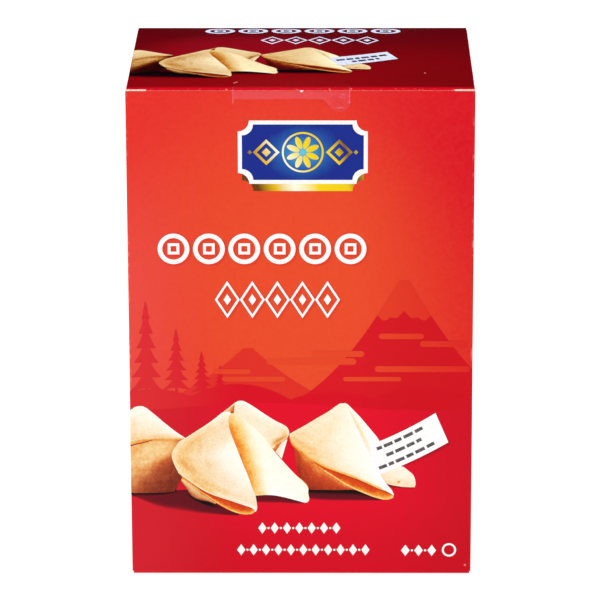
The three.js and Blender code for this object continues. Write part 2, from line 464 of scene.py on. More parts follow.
def closure_panel(rise):
    """The top closure in place, as a single sheet: panel, hinge fold, tuck fold and tuck flap."""
    bm = bmesh.new()
    bmesh.ops.create_grid(bm, x_segments=LID_CELLS[0], y_segments=LID_CELLS[1], size=0.5)
    bmesh.ops.scale(bm, vec=(2 * LID_HALF_WIDTH, LID_BACK - LID_FRONT, 1), verts=bm.verts)
    bmesh.ops.translate(bm, vec=(0, (LID_BACK + LID_FRONT) / 2, HEIGHT), verts=bm.verts)
    cut_sheet(bm, 0, (-SLIT, SLIT))
    for vert in bm.verts:
        vert.co.z += rise(vert.co.x, vert.co.y)
    fold_level = HEIGHT - TUCK_FOLD
    hinge = edges_where(bm, lambda co: near(co.y, LID_BACK))
    bmesh.ops.spin(
        bm, geom=hinge, cent=(0, LID_BACK, fold_level), axis=(-1, 0, 0), angle=pi / 2, steps=FOLD_STEPS)
    for side in (-1, 1):
        flat_end = edges_where(bm, lambda co: near(co.y, LID_FRONT) and side * co.x > SLIT - 0.01)
        for vert in extruded(bm, flat_end):
            vert.co.y = -BACK + SLIT_LAP
    tuck = edges_where(bm, lambda co: near(co.y, LID_FRONT) and abs(co.x) < SLIT + 0.01)
    turn = bmesh.ops.spin(
        bm, geom=tuck, cent=(0, LID_FRONT, fold_level), axis=(1, 0, 0), angle=pi / 2, steps=FOLD_STEPS)
    flap = [item for item in turn["geom_last"] if isinstance(item, bmesh.types.BMEdge)]
    bmesh.ops.translate(bm, vec=(0, 0, -TUCK_DEPTH), verts=extruded(bm, flap))
    bmesh.ops.recalc_face_normals(bm, faces=bm.faces)
    if max(bm.faces, key=lambda face: face.calc_area()).normal.z < 0:
        bmesh.ops.reverse_faces(bm, faces=bm.faces)
    return bm


lid_print, shade, point, x, y, z = pack_finish("lid_print")
# Dark red ink, darker towards the back as painted shade: the back of the lid gets less light.
deep = y.rising(-46.0, 48.0).mixed(rgb(133, 0, 8), rgb(95, 0, 10))
warm = ((x + 25.0) / 45.0) ** 2.0 + ((y - 5.0) / 32.0) ** 2.0
deep = (warm.rising(1.0, 0.0) * 0.6).mixed(deep, rgb(150, 4, 25))
deep = (x.rising(0.0, 60.0) * y.rising(10.0, -40.0) * 0.7).mixed(deep, rgb(112, 0, 6))
shadow = painted(shade, "tone")
deep = shadow.rising(0.0, 0.75).mixed(deep, rgb(22, 2, 10))
deep = shadow.rising(0.7, 0.95).mixed(deep, rgb(6, 4, 14))
near_fold = y.rising(LID_FRONT + 3.0, LID_FRONT + 0.2)
bright = near_fold.mixed(deep, rgb(190, 0, 22))
on_fold = y.rising(LID_FRONT + 0.25, LID_FRONT - 0.35)
bright = on_fold.mixed(bright, rgb(202, 0, 30))
hinge_red = y.rising(LID_BACK - 0.2, LID_BACK + 0.4).mixed(bright, pack_red(x, y, z))
cracked = on_fold * speckle(shade, point, 1.1, 5.0).rising(0.6, 0.75)
for spot in LID_MARKS:
    hinge_red = bare_or_glint_spot(shade, point, spot, 0.55).mixed(hinge_red, rgb(226, 120, 112))
printed_surface(shade, point, (cracked * 0.6).mixed(hinge_red, rgb(250, 200, 180)), gloss=0.02)

board_piece("carton_lid", closure_panel(lid_rise), [lid_print, inner_board, cut_edge])

# ==== clear closure seal ====
# A tab of clear film, stuck down over the tuck. It clings to lid and wall, but stands off the board
# in a hazy strip under the fold, with a lobe of trapped air at its right end.

FILM = 0.1
FILM_CLEARANCE = 0.05
SEAL_CORNER = 1.5
SEAL_HAZE_BOTTOM = 188.3
SEAL_LOBE_DEPTH = 4.8
SEAL_LOBE_LEFT = (7.5, 14.0)  # where the lobe comes in and where it is full
SEAL_LOBE_RIGHT = (20.5, 16.0)
SEAL_EDGE_GLINT = (186.4, 187.2)  # the painted glint on its side edges shows between these heights
SEAL_CUTS = 20
FILM_BEND = 0.5
FILM_FRONT = -BACK - FILM_CLEARANCE
FILM_TOP = HEIGHT + FILM_CLEARANCE
FILM_STEP = 2.0  # it is cut this often over the lid, to follow the dome

seal_low, seal_high = [[side / MM for side in corner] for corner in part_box("closure_seal")]
SEAL_MIDDLE = (seal_low[0] + seal_high[0]) / 2
SEAL_WIDTH = seal_high[0] - seal_low[0]
FILM_UP_FRONT = FILM_TOP - FILM_BEND - seal_low[2]
FILM_ROUND_FOLD = FILM_BEND * pi / 2
FILM_RUN = FILM_UP_FRONT + FILM_ROUND_FOLD + seal_high[1] - FILM_FRONT - FILM_BEND


def on_film(x, run):
    """A point of the film that is run up from its lower edge: up the front, round the fold, over the lid."""
    past = run - FILM_UP_FRONT
    if past < 0:
        return x, FILM_FRONT, seal_low[2] + run
    if past < FILM_ROUND_FOLD:
        turned = past / FILM_BEND
        return x, FILM_FRONT + FILM_BEND * (1 - cos(turned)), FILM_TOP - FILM_BEND * (1 - sin(turned))
    y = FILM_FRONT + FILM_BEND + past - FILM_ROUND_FOLD
    return x, y, FILM_TOP + max(lid_rise(x, y), 0.0)


bm = bmesh.new()
bmesh.ops.create_grid(bm, x_segments=1, y_segments=1, size=0.5)
bmesh.ops.scale(bm, vec=(SEAL_WIDTH, FILM_RUN, 1), verts=bm.verts)
bmesh.ops.bevel(
    bm, geom=bm.verts[:], affect="VERTICES", offset=SEAL_CORNER, segments=4, profile=0.5, material=-1)
bmesh.ops.translate(bm, vec=(SEAL_MIDDLE, FILM_RUN / 2, 0), verts=bm.verts)
cut_sheet(bm, 0, [SEAL_MIDDLE + SEAL_WIDTH * (cut / SEAL_CUTS - 0.5) for cut in range(1, SEAL_CUTS)])
cut_sheet(bm, 1, [FILM_UP_FRONT + FILM_ROUND_FOLD * step / FOLD_STEPS for step in range(FOLD_STEPS + 1)])
cut_sheet(bm, 1, [FILM_UP_FRONT + FILM_ROUND_FOLD + FILM_STEP * step for step in range(1, 5)])
for vert in bm.verts:
    vert.co = on_film(vert.co.x, vert.co.y)

clear_film, shade, point, x, _, z = pack_finish("clear_film")
lobe = x.rising(*SEAL_LOBE_LEFT) * x.rising(*SEAL_LOBE_RIGHT)
haze_bottom = SEAL_HAZE_BOTTOM - lobe * SEAL_LOBE_DEPTH
haze = (z - haze_bottom + speckle(shade, point, 4.0) * 0.8 - 0.4).rising(0.0, 0.35)
haze = haze * z.rising(HEIGHT - 0.5, HEIGHT - 0.9)
uneven = speckle(shade, point, 2.4, 3.0).rising(0.25, 0.8) * 0.5 + 0.75
# A painted glint along the film's side edges.
edge = (abs(x - SEAL_MIDDLE) - SEAL_WIDTH / 2 + 0.35).rising(0.0, 0.2)
edge = edge * z.rising(*SEAL_EDGE_GLINT) * z.rising(HEIGHT + 0.3, HEIGHT)
stretch = shade.node("ShaderNodeVectorMath", {"operation": "MULTIPLY"}, {0: point, 1: (0.16, 1.0, 1.0)})
glints = speckle(shade, stretch, 0.6, 3.0).rising(0.66, 0.74) * haze
faint_lobe = 1.0 - lobe * z.rising(SEAL_HAZE_BOTTOM + 2.6, SEAL_HAZE_BOTTOM - 0.6) * 0.55
alpha = haze * uneven * faint_lobe * 0.038 + edge * 0.09 + glints * 0.35 + 0.001
surface(shade, {
    "Base Color": haze.mixed(rgb(255, 250, 250), rgb(255, 190, 232)), "Roughness": 0.2,
    "Specular IOR Level": 0.5, "Alpha": alpha})

seal = piece_from("closure_seal_film", bm, [clear_film])
thicken(seal, FILM, outwards=True)
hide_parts("closure_seal")

# ==== printed ground ====
# The lower third of the walls is printed crimson all round, as the ground that the picture's cookies
# lie on. Each ink here is a closed layer, thinner than a hair, laid out flat and folded with the board.

INK = 0.01
INK_STEP = 0.013
WALL_ARC = WALL_FOLD * pi / 2
FRONT_HALF = RIGHT - WALL_FOLD
SIDE_HALF = BACK - WALL_FOLD
HALF_ROUND = 2 * (FRONT_HALF + WALL_ARC + SIDE_HALF)  # from the middle of the front to that of the back
PRINT_FOOT = HINGE_DROP + 0.1
BLANK_START = -(FRONT_HALF + WALL_ARC + 2 * SIDE_HALF - 0.3)
BLANK_END = HALF_ROUND + FRONT_HALF - BOARD - 0.2
FRONT_END = FRONT_HALF + WALL_ARC
STRETCHES = (
    ("front", -FRONT_END, FRONT_END), ("left", BLANK_START, -FRONT_END), ("round", FRONT_END, BLANK_END))
GROUND_LEVEL = 68.0
GROUND_SWELL = 1.6
GROUND_LAYER = 5
RUBBED_SPOT = (62.9, -50.0, 3.7)


def on_walls(s, z, lift):
    """Where a point of the flat blank, s to the right of the front's middle, lies on the folded walls."""
    side = copysign(1, s)
    past = abs(s) - FRONT_HALF
    if past > WALL_ARC + SIDE_HALF:
        x, y, z = on_walls(s - side * HALF_ROUND, z, lift)
        return -x, -y, z
    if past > WALL_ARC:
        return side * (RIGHT + lift), past - WALL_ARC - SIDE_HALF, z
    turned = max(past, 0.0) / WALL_FOLD
    reach = WALL_FOLD + lift
    return side * (min(abs(s), FRONT_HALF) + reach * sin(turned)), -SIDE_HALF - reach * cos(turned), z


def on_back(s, z, lift):
    """The same for a print on the back."""
    return on_walls(s + HALF_ROUND, z, lift)


def new_print(shadings=("tone",)):
    """A flat print to draw in: X and Y run along the panel, Z counts layers of ink, and its shadings are
    the values that its finish is shaded by."""
    shapes = bmesh.new()
    for shading in shadings:
        shapes.loops.layers.float.new(shading)
    return shapes


def crease(shapes):
    """Cuts the flat print where the walls fold, so that it can follow them round."""
    for middle in (0.0, HALF_ROUND):
        for side in (-1, 1):
            cut_sheet(shapes, 0, [middle + side * (FRONT_HALF + WALL_ARC * step / 4) for step in range(5)])


def lay_print(name, shapes, place, finish, lowest=1):
    """Lays a flat print on the pack, its first layer of ink that many steps above the board."""
    for face in shapes.faces:
        face.normal_update()
        if face.normal.z < 0:
            face.normal_flip()
    for vert in shapes.verts:
        vert.co = place(vert.co.x, vert.co.y, (lowest + vert.co.z) * INK_STEP)
    piece = piece_from(name, shapes, [finish])
    thicken(piece, INK, outwards=True)


def band(shapes, layer, value, start, end, foot, top, step=1.5):
    """A strip of print from start to end, between the heights that foot and top give along it."""
    tone = shapes.loops.layers.float["tone"]
    made = bmesh.ops.create_grid(shapes, x_segments=round((end - start) / step), y_segments=1, size=0.5)
    for vert in made["verts"]:
        along = start + (vert.co.x + 0.5) * (end - start)
        vert.co = (along, top(along) if vert.co.y > 0 else foot(along), layer)
        for loop in vert.link_loops:
            loop[tone] = value


def repeating(s):
    """The place on the front that a place round the pack repeats."""
    return (s + HALF_ROUND / 2) % HALF_ROUND - HALF_ROUND / 2


def ground_top(s):
    """The horizon: a long low swell."""
    return GROUND_LEVEL + GROUND_SWELL * cos(4 * pi * s / HALF_ROUND + 0.6)


ground_ink, shade, point, x, y, z = pack_finish("ground_ink")
picture_x = x * (y / -BACK)
middle = ((picture_x - 4.0) / 60.0) ** 2.0
lively = middle.rising(1.0, 0.0)
upper = lively.mixed(ink(206, 24, 43), ink(226, 21, 48))
lower = lively.mixed(ink(201, 22, 40), ink(213, 15, 44))
crimson = z.rising(8.0, 34.0).mixed(lower, upper)
crimson = picture_x.rising(-20.0, -60.0).mixed(crimson, ink(210, 39, 51))
facing = abs(y).rising(BACK - 4.0, BACK - 1.0)
shadow = painted(shade, "tone")
crimson = shadow.rising(0.0, 0.8).mixed(crimson, ink(102, 30, 38))
crimson = shadow.rising(0.8, 1.0).mixed(crimson, ink(32, 22, 30))
dented = (x - z * 0.6).rising(RIGHT - 1.2, RIGHT + 0.4) * z.rising(4.4, 1.0) * facing
rubbed = dented * speckle(shade, point, 0.8, 3.0).rising(0.4, 0.6)
rubbed = rubbed + bare_or_glint_spot(shade, point, RUBBED_SPOT, 0.6) * 0.6
printed_surface(shade, point, rubbed.mixed(crimson, rgb(240, 140, 140)))

for stretch, start, end in STRETCHES:
    shapes = new_print()
    band(shapes, 0, 0.0, start, end, lambda s: PRINT_FOOT, ground_top)
    crease(shapes)
    lay_print("ground_print_" + stretch, shapes, on_walls, ground_ink, GROUND_LAYER)

# ==== base ====
# The base is a closure panel like the lid, but flat, printed crimson, and hinged on the front wall. Its
# tuck flap goes in behind the back wall.

bm = closure_panel(lambda x, y: 0.0)
bmesh.ops.rotate(bm, cent=(0, 0, HEIGHT / 2), matrix=Matrix.Rotation(pi, 3, "X"), verts=bm.verts)
board_piece("carton_base", bm, [ground_ink, inner_board, cut_edge])

# ==== printed scenery ====
# Behind the cookies stands a landscape, tone on tone: two lone mountains behind low hills, with
# banks of mist across them and conifers on the left. It runs on round the side walls.

MOUNTAIN = (39.0, 122.0, 50.0)  # each: middle, top and half width
FAR_MOUNTAIN = (-20.0, 93.0, 44.0)
LOW_HILLS = ((-92, 79, 26), (-56, 75, 22), (-24, 77, 24), (12, 74, 22), (46, 76, 24), (84, 79, 26))
CRATER = 0.93  # share of a mountain's full height where its top is cut off
SNOW = 0.62  # share of it where the snow starts
HILL_FOOT = GROUND_LEVEL - 4.0
TREES = ((-58.6, 71.5, 110.0, 13.0), (-47.2, 73.0, 99.0, 10.5), (-37.6, 72.5, 90.0, 8.5),
         (-30.6, 73.5, 84.5, 6.0))  # middle, foot, top and width
TIERS = 6
MIST = ((4, 86, 34, 2.6), (14, 89, 20, 2.4), (46, 83, 36, 2.4), (54, 93, 18, 2.4), (38, 96, 17, 2.2),
        (-18, 79, 24, 2.0), (-26, 82, 14, 2.0), (27, 79, 22, 1.8))  # middle, height, length and stroke
SNOW_LAYER, MIST_LAYER, TREE_LAYER = 3, 4, 3
PRINTED_WALLS = (("front", on_walls), ("back", on_back))


def slope(s, mountain):
    """A lone mountain's height at any place round the pack: hollow flanks and a level top."""
    middle, height, half_width = mountain
    off = abs(repeating(s - middle)) / half_width
    return GROUND_LEVEL + (height - GROUND_LEVEL) * min(max(1 - off, 0.0) ** 1.75, CRATER)


def snow_line(s, mountain):
    """The jagged lower edge of the snow on it."""
    middle, height, _ = mountain
    jag = 3.0 * abs((s - middle) / 6.4 % 2 - 1) + 1.6 * abs((s - middle) / 2.7 % 2 - 1)
    return min(slope(s, mountain) - 0.01, GROUND_LEVEL + (height - GROUND_LEVEL) * SNOW + jag)


def low_hills(s):
    """The row of low round hills in front of them."""
    rises = [0.0]
    for middle, height, half_width in LOW_HILLS:
        off = repeating(s - middle) / half_width
        rises.append((height - GROUND_LEVEL) * max(1 - off * off, 0.0))
    return GROUND_LEVEL + max(rises)


def scenery_red(x, y, z, strength):
    """The hills' ink: strongest on the right, faded to pink at the far left."""
    picture_x = x * (y / -BACK)
    full = picture_x.rising(-62.0, -20.0).mixed(ink(219, 50, 55), ink(216, 22, 42))
    full = picture_x.rising(10.0, 50.0).mixed(full, ink(207, 21, 38))
    return strength.mixed(pack_red(x, y, z), full)


scenery_ink, shade, point, x, y, z = pack_finish("scenery_ink")
strength = painted(shade, "tone")
printed_surface(shade, point, scenery_red(x, y, z, strength))

HILLS = (  # the strength of the red, and the top edge, from the farthest to the nearest
    (0.6, lambda s: slope(s, FAR_MOUNTAIN)), (0.94, lambda s: slope(s, MOUNTAIN)), (1.0, low_hills))
for stretch, start, end in STRETCHES:
    shapes = new_print()
    for layer, (value, top) in enumerate(HILLS):
        band(shapes, layer, value, start, end, lambda s: HILL_FOOT, top, step=0.75)
    crease(shapes)
    lay_print("hills_print_" + stretch, shapes, on_walls, scenery_ink)


def plate(shapes, layer, centre, width, height, sides=4, turn=0.0):
    """A flat polygon or, with many sides, an oval: its corners lie on the oval of that size."""
    size = Matrix.Diagonal((width / 2, height / 2, 1, 1))
    placed = Matrix.Translation((*centre, layer)) @ Matrix.Rotation(turn, 4, "Z") @ size
    made = bmesh.ops.create_circle(shapes, cap_ends=True, radius=1.0, segments=sides, matrix=placed)
    return made["verts"][0].link_faces[0]


def bar(shapes, layer, centre, width, height):
    """A flat bar whose ends are half circles."""
    size = Matrix.Diagonal((width, height, 1, 1))
    placed = Matrix.Translation((*centre, layer)) @ size
    made = bmesh.ops.create_grid(shapes, x_segments=1, y_segments=1, size=0.5, matrix=placed)
    bmesh.ops.bevel(
        shapes, geom=made["verts"], affect="VERTICES", offset=0.499 * height, segments=6, profile=0.5,
        material=-1)


def conifer(shapes, layer, middle, foot, top, width):
    """A tree in one outline: a trunk under tiers of drooping boughs that narrow to the tip."""
    half = [(width * 0.05, foot), (width * 0.05, foot + (top - foot) * 0.1)]
    for tier in range(TIERS):
        out = width / 2 * (1 - tier / TIERS) ** 0.8
        level = foot + (top - foot) * (0.1 + 0.9 * tier / TIERS)
        rise = (top - foot) * 0.9 / TIERS
        half += [
            (out, level - rise * 0.25), (out * 0.62, level + rise * 0.2), (out * 0.3, level + rise * 0.75)]
    half.append((0.0, top))
    outline = [(middle + x, z) for x, z in half] + [(middle - x, z) for x, z in half[-2::-1]]
    shapes.faces.new([shapes.verts.new((x, z, layer)) for x, z in outline])


def set_tone(shapes, value):
    """Gives the whole print one tone."""
    tone = shapes.loops.layers.float["tone"]
    for face in shapes.faces:
        for loop in face.loops:
            loop[tone] = value


for side, place in PRINTED_WALLS:
    shapes = new_print()
    for layer, (x, z, length, height) in enumerate(MIST):
        bar(shapes, MIST_LAYER + layer % 4, (x, z), length, height)
    set_tone(shapes, 0.12)
    crest, level, _ = MOUNTAIN
    band(shapes, SNOW_LAYER, 0.25, crest - 16, crest + 16, lambda s: snow_line(s, MOUNTAIN),
         lambda s: slope(s, MOUNTAIN), step=0.5)
    bmesh.ops.dissolve_degenerate(shapes, dist=0.02, edges=shapes.edges)
    crease(shapes)
    lay_print("mist_print_" + side, shapes, place, scenery_ink)

    shapes = new_print()
    for tree in TREES:
        conifer(shapes, TREE_LAYER, *tree)
    set_tone(shapes, 1.0)
    crease(shapes)
    lay_print("trees_print_" + side, shapes, place, scenery_ink)

# ==== plaque ====
# In place of a maker's sign the pack bears a plain blue plaque with hollow corners: a gold base, a
# white border and a blue field that is lit from the middle, with a gold rosette between two lozenges.

PLAQUE_MIDDLE = (0.9, 168.0)
PLAQUE_SIZE = (48.4, 24.4)
PLAQUE_CORNER = 4.2
PLAQUE_BORDER = 1.5
GOLD_DROP = 2.8
GOLD_INSET = 3.0  # how much narrower the base is
CORNER_STEPS = 6
EMBLEM_LAYER = 4
PETALS = 8
PETAL_SIZE = (5.0, 2.2)
PETAL_REACH = 3.9
ROSETTE_RING = 15.6
ROSETTE_STROKE = 0.7
SIDE_LOZENGE = (13.6, 10.0)  # the framed ones: distance from the middle, and size
SIDE_STROKE = 1.0
FULL_LOZENGES = ((13.6, 3.4), (19.8, 1.7))


def hollow_plate(shapes, layer, centre, size, corner):
    """A flat rectangle whose corners are hollow quarter circles."""
    points = []
    for quarter, (side, end) in enumerate(((1, 1), (-1, 1), (-1, -1), (1, -1))):
        for step in range(CORNER_STEPS + 1):
            angle = pi + quarter * pi / 2 + (1 - step / CORNER_STEPS) * pi / 2
            x = centre[0] + side * size[0] / 2 + corner * cos(angle)
            z = centre[1] + end * size[1] / 2 + corner * sin(angle)
            points.append(shapes.verts.new((x, z, layer)))
    return shapes.faces.new(points)


def keep_frame(shapes, face, stroke):
    """Leaves only a frame of that stroke along the face's edges."""
    bmesh.ops.inset_region(shapes, faces=[face], thickness=stroke, use_even_offset=True, use_boundary=True)
    bmesh.ops.delete(shapes, geom=[face], context="FACES")


def white_finish(name, full, thin):
    """White ink, a little thin in places."""
    finish, shade, point, *_ = pack_finish(name)
    printed_surface(shade, point, speckle(shade, point, 1.4, 3.0).rising(0.3, 0.8).mixed(full, thin))
    return finish


white_ink = white_finish("white_ink", rgb(255, 254, 252), rgb(250, 240, 236))

gold_ink, shade, point, x, y, z = pack_finish("gold_ink")
swept = ((x * (y / -BACK) + (z - PLAQUE_MIDDLE[1]) * 0.4) / 62.0 + 0.5).ramp((
    (0.16, ink(112, 66, 28)), (0.27, ink(236, 190, 40)), (0.38, ink(255, 252, 226)),
    (0.52, ink(247, 214, 34)), (0.7, ink(240, 204, 30)), (0.78, ink(134, 88, 38)),
    (0.88, ink(238, 202, 24))))
printed_surface(shade, point, swept, roughness=0.34)

blue_ink, shade, point, x, y, z = pack_finish("blue_ink")
off_x = (x * (y / -BACK) - PLAQUE_MIDDLE[0]) / 15.0
off_z = (z - PLAQUE_MIDDLE[1]) / 11.0
lit = (off_x ** 2.0 + off_z ** 2.0) ** 0.5 + speckle(shade, point, 5.0) * 0.3 - 0.15
blue = lit.ramp((
    (0.0, ink(112, 200, 222)), (0.3, ink(66, 140, 196)), (0.6, ink(46, 92, 168)), (1.0, ink(37, 52, 141))))
printed_surface(shade, point, blue)

for side, place in PRINTED_WALLS:
    middle_x, middle_z = PLAQUE_MIDDLE
    width, height = PLAQUE_SIZE
    shapes = new_print()
    hollow_plate(shapes, 0, (middle_x, middle_z - GOLD_DROP), (width - GOLD_INSET, height), PLAQUE_CORNER)
    for petal in range(PETALS):
        around = (petal + 0.5) * 2 * pi / PETALS
        spot = (middle_x + PETAL_REACH * cos(around), middle_z + PETAL_REACH * sin(around))
        plate(shapes, EMBLEM_LAYER, spot, *PETAL_SIZE, sides=16, turn=around)
    ring = plate(shapes, EMBLEM_LAYER, PLAQUE_MIDDLE, ROSETTE_RING, ROSETTE_RING, sides=40)
    keep_frame(shapes, ring, ROSETTE_STROKE)
    for end in (-1, 1):
        off, size = SIDE_LOZENGE
        lozenge = plate(shapes, EMBLEM_LAYER, (middle_x + end * off, middle_z), size, size)
        keep_frame(shapes, lozenge, SIDE_STROKE)
        for off, size in FULL_LOZENGES:
            plate(shapes, EMBLEM_LAYER, (middle_x + end * off, middle_z), size, size)
    lay_print("plaque_gold_" + side, shapes, place, gold_ink)

    field = (width - 2 * PLAQUE_BORDER, height - 2 * PLAQUE_BORDER)
    for layer, (name, size, finish) in enumerate((
            ("plaque_border_", PLAQUE_SIZE, white_ink), ("plaque_field_", field, blue_ink)), start=1):
        shapes = new_print()
        hollow_plate(shapes, layer, PLAQUE_MIDDLE, size, PLAQUE_CORNER)
        lay_print(name + side, shapes, place, finish)

# ==== ornaments in white ====
# Two rows of ornament stand where such a pack has its title: bold round coins with square holes over
# fine nested lozenges. Small lozenges and dots run along the foot, and the lid repeats the two rows.

COINS = 6
COIN_STROKE = 1.75
COIN_HOLE = 6.2
COIN_HOLE_STROKE = 1.1
LOZENGES = 5
LOZENGE_STROKE = 0.85
BEAD_HEIGHT = 4.6
BEAD_DOT = 0.9
COIN_ROW = (-53.7, 23.9, 137.6, 123.4)  # left, right, top and bottom
COIN_SHADE = (-53.0, 24.6, 136.9, 122.7)
LOZENGE_ROW = (-32.4, 14.8, 117.9, 103.2)
LOZENGE_SHADE = (-31.8, 15.4, 117.2, 102.5)
BEAD_ROWS = ((-17.3, 15.8, 18.8, 7), (-25.5, 27.0, 9.9, 11), (37.4, 52.6, 9.7, 3))  # ends, height, count
RING_MIDDLE = (56.7, 9.9)
RING_SIZE = 5.5
RING_STROKE = 0.75
SHADE_LAYER, ORNAMENT_LAYER = 9, 10


def coin_row(shapes, left, right, top, bottom):
    """A row of coins: a bold ring round a square hole's thinner frame."""
    pitch = (right - left) / (COINS - 0.16)
    size = min(pitch * 0.9, top - bottom)
    for number in range(COINS):
        centre = (left + size / 2 + number * pitch, (top + bottom) / 2)
        keep_frame(shapes, plate(shapes, 0, centre, size, size, sides=32), COIN_STROKE)
        keep_frame(shapes, plate(shapes, 0, centre, COIN_HOLE, COIN_HOLE, turn=pi / 4), COIN_HOLE_STROKE)


def lozenge_row(shapes, left, right, top, bottom):
    """A row of tall lozenges in a fine line, each with a small full one in it."""
    pitch = (right - left) / LOZENGES
    for number in range(LOZENGES):
        centre = (left + (number + 0.5) * pitch, (top + bottom) / 2)
        keep_frame(shapes, plate(shapes, 0, centre, pitch, top - bottom), LOZENGE_STROKE)
        plate(shapes, 0, centre, pitch * 0.3, (top - bottom) * 0.3)


def bead_row(shapes, left, right, level, count):
    """Small lozenges with a dot between each two."""
    pitch = (right - left) / count
    for number in range(count):
        x = left + (number + 0.5) * pitch
        plate(shapes, 0, (x, level), pitch * 0.66, BEAD_HEIGHT)
        if number:
            plate(shapes, 0, (x - pitch / 2, level), BEAD_DOT, BEAD_DOT, sides=12)


for side, place in PRINTED_WALLS:
    shapes = new_print()
    coin_row(shapes, *COIN_SHADE)
    lozenge_row(shapes, *LOZENGE_SHADE)
    set_tone(shapes, 0.3)
    lay_print("ornament_shade_" + side, shapes, place, scenery_ink, SHADE_LAYER)
    shapes = new_print()
    coin_row(shapes, *COIN_ROW)
    lay_print("coins_print_" + side, shapes, place, white_ink, ORNAMENT_LAYER)
    shapes = new_print()
    lozenge_row(shapes, *LOZENGE_ROW)
    lay_print("lozenges_print_" + side, shapes, place, white_ink, ORNAMENT_LAYER)
    shapes = new_print()
    for row in BEAD_ROWS:
        bead_row(shapes, *row)
    keep_frame(shapes, plate(shapes, 0, RING_MIDDLE, RING_SIZE, RING_SIZE, sides=28), RING_STROKE)
    lay_print("beads_print_" + side, shapes, place, white_ink, ORNAMENT_LAYER)

# ==== picture of the cookies ====
# Three fortune cookies lie on the crimson ground, printed as smooth facets that are shaded from white
# highlights through gold to brown. The one on the left runs over the fold; the lid has them smaller.

SHADING = ("tone", "glow", "streak")
STREAKS = 0.09  # how much the fine bands along a facet sway its browning
STREAK_SHIFT = 9.0  # between one facet's bands and the next one's
CURVE_STEPS = 9
MERGED = 0.004  # points that lie this close become one
LID_LEFT_STRETCH = 0.13  # the lid's left cookie is a little taller, from this level up, and browner
LID_LEFT_BASE = 20.0
LID_LEFT_BROWNING = 0.04


def curve_through(points):
    """A smooth curve through the points, as a function of the share of its length."""
    fine = []
    ends = [Vector(point) for point in (points[0], *points, points[-1])]
    for before, start, end, after in zip(ends, ends[1:], ends[2:], ends[3:]):
        out, back = start + (end - before) / 6, end - (after - start) / 6
        fine += interpolate_bezier(start, out, back, end, CURVE_STEPS)[:-1]
    fine.append(ends[-1])
    reached = [0.0]
    for start, end in zip(fine, fine[1:]):
        reached.append(reached[-1] + (end - start).length)

    def at(share):
        """The point at a share of the length."""
        target = share * reached[-1]
        number = min(max(bisect_left(reached, target), 1), len(fine) - 1)
        start, end = reached[number - 1], reached[number]
        return fine[number - 1].lerp(fine[number], (target - start) / (end - start))
    return at


def between(values, share):
    """The value at a share of the way through evenly spaced ones."""
    position = share * (len(values) - 1)
    lower = min(int(position), len(values) - 2)
    return values[lower] + (values[lower + 1] - values[lower]) * (position - lower)


def soft_oval(place, centre, reach, slope=0.0):
    """1 in the middle of an oval that lies along a slope, 0 outside it."""
    across = (place.x - centre[0]) / reach[0]
    upwards = (place.y - centre[1] - (place.x - centre[0]) * slope) / reach[1]
    inside = max(1 - Vector((across, upwards)).length, 0.0)
    return inside * inside * (3 - 2 * inside)


def facet(shapes, layer, first, second, across, along=(0.0, 0.0), reach=None,
          slant=(0.0, 1.0, (0.0, 0.0)), glow=(0.0, 0.0), ovals=(), cells=(32, 16)):
    """A facet ruled between two edge curves. Its browning is the sum of a row of values across it, from
    the first edge over its width or as far as reach, a row along it, a row that runs down to the right
    from where x - z is slant's first value over its second, and the deepening of its ovals. Its glow is
    a row across it."""
    tone, warmth, streak = [shapes.loops.layers.float[name] for name in SHADING]
    made = bmesh.ops.create_grid(shapes, x_segments=cells[0], y_segments=cells[1], size=0.5)["verts"]
    first, second = curve_through(first), curve_through(second)
    for vert in made:
        share, step = vert.co.x + 0.5, vert.co.y + 0.5
        edge = first(share)
        place = edge.lerp(second(share), step)
        off = (place - edge).length
        toast = between(across, min(off / reach, 1.0) if reach else step) + between(along, share)
        toast += sum(deeper * soft_oval(place, *oval) for deeper, *oval in ovals)
        toast += between(slant[2], min(max((place.x - place.y - slant[0]) / slant[1], 0.0), 1.0))
        for loop in vert.link_loops:
            loop[tone] = toast
            loop[warmth] = between(glow, step)
            loop[streak] = off + layer * STREAK_SHIFT
        vert.co = (*place, layer)


def rim(shapes, layer, curve, strokes, tone, glow=1.0):
    """A narrow edge below a curve, its stroke given at the start and at the end."""
    count = len(curve) - 1
    lower = [(x, z - between(strokes, number / count)) for number, (x, z) in enumerate(curve)]
    facet(shapes, layer, curve, lower, (tone, tone), glow=(glow, glow), cells=(28, 1))


def raised(curve, rise):
    """The curve, moved up."""
    return [(x, z + rise) for x, z in curve]


